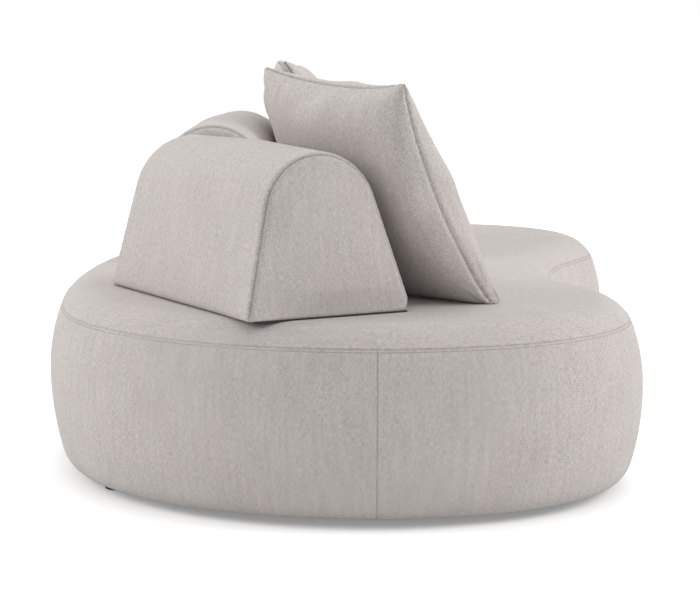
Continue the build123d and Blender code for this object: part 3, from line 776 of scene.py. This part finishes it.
def lip(distance):
    """How far a panel sinks near its border: a rounded lip, and the seam's groove at its end."""
    past = distance - BLOCK_SEAM_INSET
    rest = max(1 - past / BLOCK_LIP_REACH, 0)
    return BLOCK_LIP_DROP * rest**2 + ridge(past, BLOCK_SEAM_DEPTH, BLOCK_SEAM_WIDTH)


def standing(normal):
    """One where a section's surface faces sideways or up, falling to nothing where it faces down."""
    return 1 - np.clip(-normal[:, 1:], 0, 1)


def block_strip(side, block):
    """The strip of cloth over a block's front, crest and back, from one end seam to the other."""
    share = np.linspace(0, 1, BLOCK_COLUMNS)
    inner = np.linspace(BLOCK_END_ZONE, BLOCK_LENGTH / 2, BLOCK_ROWS)
    from_end = np.concatenate([BLOCK_SEAM_INSET + BLOCK_SEAM_ROWS, inner])
    ends = [-1] * len(from_end) + [1] * (len(from_end) - 1)
    distances = np.concatenate([from_end, from_end[-2::-1]])
    rows, weave = [], []
    for end, distance in zip(ends, distances):
        section = block_section(BLOCK_HEIGHT + BLOCK_CROWN * distance / (BLOCK_LENGTH / 2))
        place, normal = section.at(share * section.length)
        sunk = place - normal * lip(distance) * standing(normal)
        y, z = sunk[:, 0], np.maximum(sunk[:, 1], BLOCK_BASE_THICKNESS)
        to_middle = (BLOCK_LENGTH / 2 - distance) / (BLOCK_LENGTH / 2 - BLOCK_END_ZONE)
        reach = (end_reach(z) - min(distance, BLOCK_END_ZONE)) * min(to_middle, 1)
        wrinkle = np.exp(-distance / BLOCK_WRINKLE_REACH) * waves(share, 1, BLOCK_WRINKLE_WAVES)
        y = y + BLOCK_WRINKLE * wrinkle * normal[:, 0]
        z = z + BLOCK_WRINKLE * wrinkle * normal[:, 1] * (z > BLOCK_WRINKLE_FOOT)
        rows.append(block.world(end * reach, y, z))
        weave.append(np.stack([end * reach, share * section.length], axis=1))
    faces = grid_faces(len(rows), len(share))
    strip = make_piece(f"{side}_block_strip", np.array(rows), faces, np.array(weave), cloth)
    # Painted shade: the strip is darkened near its end seams, for their shadow
    paint_seam_shade(strip.data, np.repeat(distances - BLOCK_SEAM_INSET, len(share)), BLOCK_SEAM_SHADE)
    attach(strip, f"{side}_backrest")
    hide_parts(f"{side}_backrest_cover", f"{side}_backrest_foam", f"{side}_backrest_wadding")


def block_end(side, block, end, end_name):
    """A D-shaped end panel: close rings along its seam, then rings that shrink to its middle."""
    section = block_section(BLOCK_HEIGHT)
    place, normal = section.at(np.linspace(0, 1, BLOCK_COLUMNS)[:-1] * section.length)
    centre = np.array([0.0, BLOCK_HEIGHT * BLOCK_CENTRE_SHARE])
    insets = BLOCK_SEAM_INSET + BLOCK_SEAM_ROWS
    insets = insets[insets < BLOCK_RIM]
    shrinking = np.linspace(0, BLOCK_LAST_RING_SHARE, BLOCK_RINGS)[1:]
    rings, weave, past_seam = [], [], []
    for inset, inward in [(inset, 0) for inset in insets] + [(insets[-1], share) for share in shrinking]:
        rim = place - normal * inset * standing(normal)
        spot = rim + (centre - rim) * inward
        depth = inset + inward * BLOCK_HEIGHT / 2
        z = np.maximum(spot[:, 1], BLOCK_BASE_THICKNESS)
        reach = end_reach(z) - lip(depth) + end_swell(spot[:, 0], z, depth)
        rings.append(block.world(end * reach, spot[:, 0], z))
        weave.append(spot)
        past_seam.append(np.full(len(place), depth - BLOCK_SEAM_INSET))
    points = np.concatenate([*rings, [np.mean(rings[-1], axis=0)]])
    weave = np.concatenate([*weave, [np.mean(weave[-1], axis=0)]])
    count = len(place)
    last = len(points) - 1 - count
    faces = grid_faces(len(rings), count, wrap=True).tolist()
    faces += [[last + i, last + (i + 1) % count, last + count] for i in range(count)]
    if end < 0:
        faces = [face[::-1] for face in faces]
    panel = make_piece(f"{side}_block_{end_name}_end", points, faces, weave, cloth)
    # Painted shade: the end panel is darkened along its seam, for the seam's shadow
    paint_seam_shade(panel.data, np.append(np.concatenate(past_seam), BLOCK_HEIGHT), BLOCK_SEAM_SHADE)
    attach(panel, f"{side}_backrest")
    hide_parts(f"{side}_backrest_{end_name}_end")


blocks = {side: Block(side) for side in PLACES}
for side, block in blocks.items():
    block_strip(side, block)
    block_end(side, block, -1, "left")
    block_end(side, block, 1, "right")


# Pillows: two square panels, sewn along their edges and stuffed

def sewn_panels():
    """Points, faces, weave, border and the two numberings of square panels that share their border."""
    count = PILLOW_CELLS + 1
    size = PILLOW_CUT
    inner = 1 - PILLOW_EDGE_CELL / (size / 2)
    spread = np.concatenate([[-1], np.linspace(-inner, inner, count - 2), [1]])
    u, v = np.meshgrid(spread, spread)
    power = PILLOW_FULLNESS
    bulge = PILLOW_START_SHARE * PILLOW_THICKNESS / 2
    crown = bulge * ((1 - np.abs(u) ** power) * (1 - np.abs(v) ** power)) ** (1 / power)
    drawn = PILLOW_DRAW_IN / (size / 2)
    x = u * (1 - drawn * (1 - v**2) * np.abs(u)) * size / 2
    y = v * (1 - drawn * (1 - u**2) * np.abs(v)) * size / 2
    front = np.stack([x, y, crown], axis=2).reshape(-1, 3)
    back = front * np.array([1, 1, -1])
    border = ((np.abs(u) == 1) | (np.abs(v) == 1)).ravel()
    number = np.arange(count * count)
    back_number = number.copy()
    back_number[~border] = count * count + np.arange((~border).sum())
    faces = grid_faces(count, count)
    points = np.concatenate([front, back[~border]])
    weave = np.stack([u, v], axis=2).reshape(-1, 2) * size / 2
    weave = np.concatenate([weave, weave[~border]])
    all_faces = np.concatenate([faces, back_number[faces][:, ::-1]])
    border = np.concatenate([border, np.zeros((~border).sum(), bool)])
    return points, all_faces, weave, border, (number, back_number)


def from_middle(sheet):
    """How far each point of a sheet is from the middle of its row, along the cloth."""
    steps = np.linalg.norm(np.diff(sheet, axis=1), axis=2)
    along = np.pad(steps.cumsum(axis=1), ((0, 0), (1, 0)))
    return along - along[:, [len(sheet) // 2]]


def laid_weave(points, faces, grids):
    """Weave coordinates of each face corner, from the distances along the cloth."""
    count = math.isqrt(len(grids[0]))
    corners = []
    for grid, half in zip(grids, np.split(faces, 2)):
        sheet = points[grid].reshape(count, count, 3)
        spots = np.empty((len(points), 2))
        pairs = np.stack([from_middle(sheet), from_middle(sheet.swapaxes(0, 1)).T], axis=2)
        spots[grid] = pairs.reshape(-1, 2)
        corners.append(spots[half])
    return np.concatenate(corners)


def stuffed(points, faces):
    """The panels' shape after a cloth simulation under pressure."""
    mesh = bpy.data.meshes.new("stuffing")
    mesh.from_pydata(points.tolist(), [], faces.tolist())
    cover = new_object("stuffing", mesh)
    scene = bpy.context.scene
    simulation = cover.modifiers.new("cloth", "CLOTH")
    simulation.point_cache.frame_end = PILLOW_FRAMES
    for name, value in PILLOW_CLOTH.items():
        setattr(simulation.settings, name, value)
    simulation.settings.effector_weights.gravity = 0
    for number in range(1, PILLOW_FRAMES + 1):
        scene.frame_set(number)
    evaluated = cover.evaluated_get(bpy.context.evaluated_depsgraph_get())
    result = rows_of(evaluated.data.vertices, "co")
    scene.frame_set(1)
    bpy.data.objects.remove(cover)
    return relaxed(result.astype(float), faces)


def relaxed(points, faces):
    """The shape with its sharpest crumples eased, each point drawn towards its neighbours."""
    pairs = np.concatenate([faces[:, [side, (side + 1) % 4]] for side in range(4)])
    pairs = np.concatenate([pairs, pairs[:, ::-1]])
    degree = np.bincount(pairs[:, 0], minlength=len(points))[:, None]
    for _ in range(PILLOW_RELAX):
        total = np.zeros_like(points)
        np.add.at(total, pairs[:, 0], points[pairs[:, 1]])
        points = points + (total / degree - points) * 0.5
    return points


def trimmed(points, border, axis, sign, sag):
    """The shape with one edge redrawn as an even, shallow hollow; axis is 0 for a side and 1 for the top."""
    along, outward = points[:, 1 - axis], points[:, axis] * sign
    extent = outward.max()
    edge = border & (outward > extent / 2) & (outward >= np.abs(along) * PILLOW_CORNER_SHARE)
    order = np.argsort(along[edge])
    reach = np.interp(along, along[edge][order], outward[edge][order])
    even = sag * (1 - np.clip(np.abs(along) / np.abs(along[edge]).max(), 0, 1) ** PILLOW_SAG_POWER)
    points[:, axis] += sign * (extent - reach - even) * np.clip(outward / reach, 0, 1) ** 3
    return points


def fitted(points, border):
    """The stuffed shape at its real size, with even edges and a straight lower one where it stands."""
    low, high = points.min(axis=0), points.max(axis=0)
    full_size = np.array([PILLOW_SIZE, PILLOW_SIZE, PILLOW_THICKNESS])
    points = (points - (low + high) / 2) * (full_size / (high - low))
    for axis, sign, sag in ((0, -1, PILLOW_SIDE_SAG), (0, 1, PILLOW_SIDE_SAG), (1, 1, PILLOW_TOP_SAG)):
        points = trimmed(points, border, axis, sign, sag)
    x, y, z = points.T
    half = PILLOW_SIZE / 2
    y += half
    lower = border & (y < half / 2) & (np.abs(x) < half * PILLOW_FOOT_SHARE)
    order = np.argsort(x[lower])
    rise = np.interp(x, x[lower][order], y[lower][order])
    y -= rise * np.clip(1 - y / (PILLOW_SIZE * PILLOW_FOOT_FADE_SHARE), 0, 1) ** 2
    side = np.clip(np.abs(x) / half, 0, 1)
    z -= PILLOW_BEND * side**PILLOW_BEND_POWER * np.clip(1 - (y / half - 1) ** 2, 0, 1)
    return rounded_ears(points)


def rounded_ears(points):
    """The shape with its two upper corners rounded off."""
    inner_x, inner_y = PILLOW_SIZE / 2 - PILLOW_EAR_RADIUS, PILLOW_SIZE - PILLOW_EAR_RADIUS
    past_x, past_y = np.abs(points[:, 0]) - inner_x, points[:, 1] - inner_y
    past = np.hypot(past_x, past_y)
    outside = (past_x > 0) & (past_y > 0) & (past > PILLOW_EAR_RADIUS)
    pull = np.where(outside, PILLOW_EAR_RADIUS / np.maximum(past, 1e-6), 1)
    x = np.where(outside, np.sign(points[:, 0]) * (inner_x + past_x * pull), points[:, 0])
    y = np.where(outside, inner_y + past_y * pull, points[:, 1])
    return np.column_stack([x, y, points[:, 2]])


def slumped(points):
    """The stuffing sunk towards the lower edge: the pillow gets thinner upwards, most of all in front."""
    height = np.clip(points[:, 1] / PILLOW_SIZE, 0, 1)
    thin = np.where(points[:, 2] > 0, PILLOW_FRONT_SLUMP * height, PILLOW_BACK_SLUMP * height**3)
    return points * np.column_stack([np.ones((len(points), 2)), 1 - thin])


def pillow_axes(side):
    """The middle of a pillow's lower edge, and its lower edge, face and front directions."""
    place = PLACES[side]
    turn = math.radians(place["turn"] + place["swing"])
    lean, roll = math.radians(place["lean"]), math.radians(place["roll"])
    level = np.array([math.cos(turn), math.sin(turn), 0])
    backward = np.array([-math.sin(turn), math.cos(turn), 0])
    rise = UP * math.cos(lean) + backward * math.sin(lean)
    along = level * math.cos(roll) + rise * math.sin(roll)
    face = rise * math.cos(roll) - level * math.sin(roll)
    low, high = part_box(f"{side}_pillow_zip")
    middle = (np.array(low) + np.array(high)) / 2
    origin = middle - along * math.copysign(PILLOW_ZIP_MIDDLE, roll) + face * PILLOW_ZIP_THICKNESS / 2
    return origin, along, face, np.cross(along, face)


def pressed(points, block):
    """Points moved out of a block that they would reach into, and off the seat."""
    x, y, z = block.local(points)
    x_share = np.clip(np.abs(x) / (BLOCK_LENGTH / 2), 0, 1)
    crest_z = BLOCK_HEIGHT + BLOCK_CROWN * (1 - x_share) - BLOCK_TOP_RADIUS
    out_y, out_z = y - BLOCK_CREST_BACK, z - crest_z
    from_crest = np.hypot(out_y, out_z)
    foot = np.array([-BLOCK_DEPTH / 2, 0])
    crest = np.array([BLOCK_CREST_BACK, BLOCK_HEIGHT - BLOCK_TOP_RADIUS])
    front = tangent_point(foot, crest, BLOCK_TOP_RADIUS, 1)
    slope = (front[0] - foot[0]) / front[1]
    beside = np.abs(x) < end_reach(z)
    room = BLOCK_TOP_RADIUS + CLEARANCE
    on_crest = beside & (z > front[1]) & (from_crest < room)
    push = np.where(on_crest, room / np.maximum(from_crest, 1e-6), 1)
    y, z = BLOCK_CREST_BACK + out_y * push, crest_z + out_z * push
    face_y = foot[0] + slope * z - CLEARANCE
    on_face = beside & (z <= front[1]) & (y > face_y) & (y < BLOCK_DEPTH / 2)
    moved = block.world(x, np.where(on_face, face_y, y), z)
    moved[:, 2] = np.maximum(moved[:, 2], SEAT_HEIGHT + CLEARANCE)
    return moved


def settled(points, weave, back):
    """The pillow with its belly let down, beside its lower seam, until it rests on the seat."""
    above = weave[:, 1] - weave[:, 1].min()
    columns, column = np.unique(np.round(weave[:, 0], 5), return_inverse=True)
    near = above < PILLOW_BELLY_END
    lowest = np.full(len(columns), np.inf)
    np.minimum.at(lowest, column[near], points[near, 2])
    gap = lowest[column] - SEAT_HEIGHT - CLEARANCE
    rise = np.clip(above / PILLOW_BELLY_START, 0, 1)
    fall = np.clip(1 - (above - PILLOW_BELLY_START) / (PILLOW_BELLY_END - PILLOW_BELLY_START), 0, 1)
    share = np.where(above < PILLOW_BELLY_START, rise, fall * fall * (3 - 2 * fall))
    centred = 1 - np.clip(np.abs(weave[:, 0]) / weave[:, 0].max(), 0, 1) ** PILLOW_BELLY_POWER
    moved = points.copy()
    moved[:, 2] -= gap * share * centred * back
    return moved


def edge_puckers(across, along):
    """Small waves along the pillow's seams, strongest near its corners and still at each corner itself."""
    beside = np.abs(across) > np.abs(along)
    place = np.where(beside, along, across)
    middle = PILLOW_PUCKER_MIDDLE_SHARE
    strength = middle + (1 - middle) * np.clip(np.abs(place) / (PILLOW_CUT / 2), 0, 1) ** 2
    from_diagonal = np.abs(np.abs(across) - np.abs(along))
    calm = np.clip(1 - from_diagonal / PILLOW_PUCKER_CORNER, 0, 1)
    wave = waves(place + PILLOW_CUT / 2 * beside, PILLOW_CUT, PILLOW_PUCKER_WAVES)
    return PILLOW_PUCKER * wave * strength * (1 - calm)


def sew_edges(mesh):
    """Sink the pillow's seam into a groove, with a soft ridge on both sides of it and small puckers, and
    paint shade along it.
    """
    across, along, inset = rows_of(mesh.attributes["panel_place"].data, "vector").T
    mesh.attributes.remove(mesh.attributes["panel_place"])
    lift = groove(inset, PILLOW_GROOVE_DEPTH, PILLOW_GROOVE_WIDTH)
    lift = lift + ridge(inset - PILLOW_RIDGE_INSET, PILLOW_RIDGE, PILLOW_RIDGE_WIDTH)
    lift = lift + edge_puckers(across, along) * np.exp(-np.maximum(inset, 0) / PILLOW_PUCKER_REACH)
    points = rows_of(mesh.vertices, "co") + rows_of(mesh.vertices, "normal") * lift[:, None]
    mesh.vertices.foreach_set("co", points.astype(np.float32).ravel())
    # Painted shade: the cloth is darkened along the seam, for the shadow in its groove
    paint_seam_shade(mesh, inset, PILLOW_SEAM_SHADE)
    mesh.update()


def finer_mesh(piece):
    """The mesh of a piece, subdivided twice."""
    smooth = piece.modifiers.new("finer", "SUBSURF")
    smooth.levels = smooth.render_levels = 2
    depsgraph = bpy.context.evaluated_depsgraph_get()
    return bpy.data.meshes.new_from_object(
        piece.evaluated_get(depsgraph), preserve_all_data_layers=True, depsgraph=depsgraph
    )


def pillow(side, shape, faces, weave, grids, mirror):
    """One pillow: the stuffed shape let down on the seat and leant on its block."""
    origin, along, face, front = pillow_axes(side)
    local = slumped(shape * np.array([mirror, 1, mirror]))
    points = origin + local[:, :1] * along + local[:, 1:2] * face + local[:, 2:] * front
    points = pressed(settled(points, weave, (local[:, 2] < 0) * 1.0), blocks[side])
    piece = make_piece(f"{side}_pillow_shell", points, faces, laid_weave(points, faces, grids), cloth)
    inset = weave.max() - np.abs(weave).max(axis=1)
    noted = piece.data.attributes.new("panel_place", "FLOAT_VECTOR", "POINT")
    noted.data.foreach_set("vector", np.column_stack([weave, inset]).astype(np.float32).ravel())
    finer = finer_mesh(piece)
    piece.modifiers.clear()
    piece.data = finer
    sew_edges(finer)
    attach(piece, f"{side}_pillow")
    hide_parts(f"{side}_pillow_front", f"{side}_pillow_back", f"{side}_pillow_pad")


panel_points, panel_faces, panel_weave, panel_border, panel_grids = sewn_panels()
panel_points = stuffed(panel_points, panel_faces)
pillow_shape = fitted(panel_points, panel_border)
pillow("left", pillow_shape, panel_faces, panel_weave, panel_grids, 1)
pillow("right", pillow_shape, panel_faces, panel_weave, panel_grids, -1)


# CAD pieces that stay: the first of these words that is in a node's name gives its finish

zinc = grained("zinc_steel", (0.50, 0.50, 0.52), (0.66, 0.66, 0.67), 700, 0.35, (1, 1, 0.2), 1.0)
plywood = grained("plywood", (0.48, 0.33, 0.18), (0.66, 0.50, 0.31), 40, 0.7, (1, 8, 12))
timber = grained("timber", (0.52, 0.36, 0.20), (0.72, 0.55, 0.35), 30, 0.7, (10, 10, 1))
FINISHES = {
    "screws": zinc,
    "staples": zinc,
    "feet": grained("black_plastic", (0.010,) * 3, (0.022,) * 3, 900, 0.55),
    "dust_cover": grained("dust_cloth", (0.012,) * 3, (0.035,) * 3, 1400, 0.95, depth=0.0003),
    "_board": plywood,
    "rim_wall": plywood,
    "top_ring": plywood,
    "frame_posts": timber,
    "rails": timber,
    "webbing_liner": grained("liner", (0.55, 0.54, 0.51), (0.72, 0.71, 0.68), 800, 0.95),
    "webbing": grained("webbing", (0.02, 0.018, 0.016), (0.06, 0.055, 0.05), 300, 0.85, (1, 6, 1)),
    "_base": dotted("non_slip_cloth", (0.02,) * 3, (0.05,) * 3, 0.008, 0.0013, 0.8),
    "_weight": grained("primed_steel", (0.015, 0.015, 0.016), (0.04, 0.04, 0.042), 500, 0.5, metallic=0.3),
    "_zip": grained("zip_tape", (0.33, 0.30, 0.28), (0.55, 0.51, 0.48), 1500, 0.7),
    "_slider": grained("lacquered_zinc", (0.42, 0.39, 0.37), (0.56, 0.53, 0.50), 900, 0.4, metallic=0.6),
}
for node_name, node_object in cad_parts.items():
    finish = next((FINISHES[word] for word in FINISHES if word in node_name), None)
    if finish:
        for slot in node_object.material_slots:
            slot.material = finish


# Studio: a white floor that keeps the shadow, soft lamps and the photograph's camera

def studio_floor():
    """A white floor that glows to the camera far from the sofa, and can't be seen from below."""
    material, tree, shader = new_material("studio_floor")
    tone = (*[FLOOR_TONE] * 3, 1)
    set_inputs(tree, shader, {"Base Color": tone, "Roughness": 0.9, "Specular IOR Level": 0.1})
    place = add_node(tree, "TexCoord", {})["Object"]
    away = add_node(tree, "VectorMath", {0: place}, operation="LENGTH")["Value"]
    rise = add_node(tree, "MapRange", {"Value": away, **FLOOR_GLOW})[0]
    seen = add_node(tree, "LightPath", {})["Is Camera Ray"]
    light = {"Color": (1, 1, 1, 1), "Strength": calc(tree, "MULTIPLY", seen, rise)}
    glow = add_node(tree, "Emission", light)[0]
    both = add_node(tree, "AddShader", {0: shader.outputs[0], 1: glow})[0]
    from_below = add_node(tree, "NewGeometry", {})["Backfacing"]
    clear = add_node(tree, "BsdfTransparent", {})[0]
    surface = add_node(tree, "MixShader", {0: from_below, 1: both, 2: clear})[0]
    set_inputs(tree, tree.nodes["Material Output"], {"Surface": surface})
    half = FLOOR_SIZE / 2
    corners = np.array([[-half, -half], [half, -half], [half, half], [-half, half]])
    points = np.column_stack([corners, np.full(4, -FLOOR_DROP)])
    floor = make_piece("studio_floor", points, [[0, 1, 2, 3]], corners, material)


def white_world():
    """A world that looks white, and lights the sofa a little less."""
    world = bpy.data.worlds.new("studio")
    bpy.context.scene.world = world
    world.use_nodes = True
    tree = world.node_tree
    rays = add_node(tree, "LightPath", {})
    seen = calc(tree, "MAXIMUM", rays["Is Camera Ray"], rays["Is Glossy Ray"])
    strength = calc(tree, "MULTIPLY_ADD", seen, 1.0 - WORLD_LIGHT, WORLD_LIGHT)
    set_inputs(tree, tree.nodes["Background"], {"Color": (1, 1, 1, 1), "Strength": strength})


def aimed(name, data, place, heading):
    """A lamp or camera at a place, turned towards a heading."""
    item = new_object(name, data)
    item.location = place
    item.rotation_euler = heading.to_track_quat("-Z", "Y").to_euler()
    return item


def lamp(name, place, target, size, power):
    """A round area lamp that faces its target."""
    data = bpy.data.lights.new(name, "AREA")
    data.shape = "DISK"
    data.size = size
    data.energy = power
    aimed(name, data, place, Vector(target) - Vector(place))


def camera():
    data = bpy.data.cameras.new("camera")
    data.lens = CAMERA_LENS
    data.sensor_width = SENSOR_WIDTH
    pitch = math.radians(CAMERA_PITCH)
    heading = Vector((*[math.cos(pitch) * part for part in CAMERA_HEADING], -math.sin(pitch)))
    bpy.context.scene.camera = aimed("camera", data, CAMERA_PLACE, heading)


studio_floor()
white_world()
lamp("front", place=(-0.2, -4.6, 2.6), target=(0, 0, 0.3), size=3.0, power=112)
lamp("back", place=(-1.2, 4.6, 2.4), target=(0, 0, 0.3), size=3.0, power=100)
lamp("top", place=(0.3, 0.0, 4.6), target=(0.1, 0, 0.3), size=3.5, power=62)
camera()
bpy.context.scene.view_settings.view_transform = "Standard"
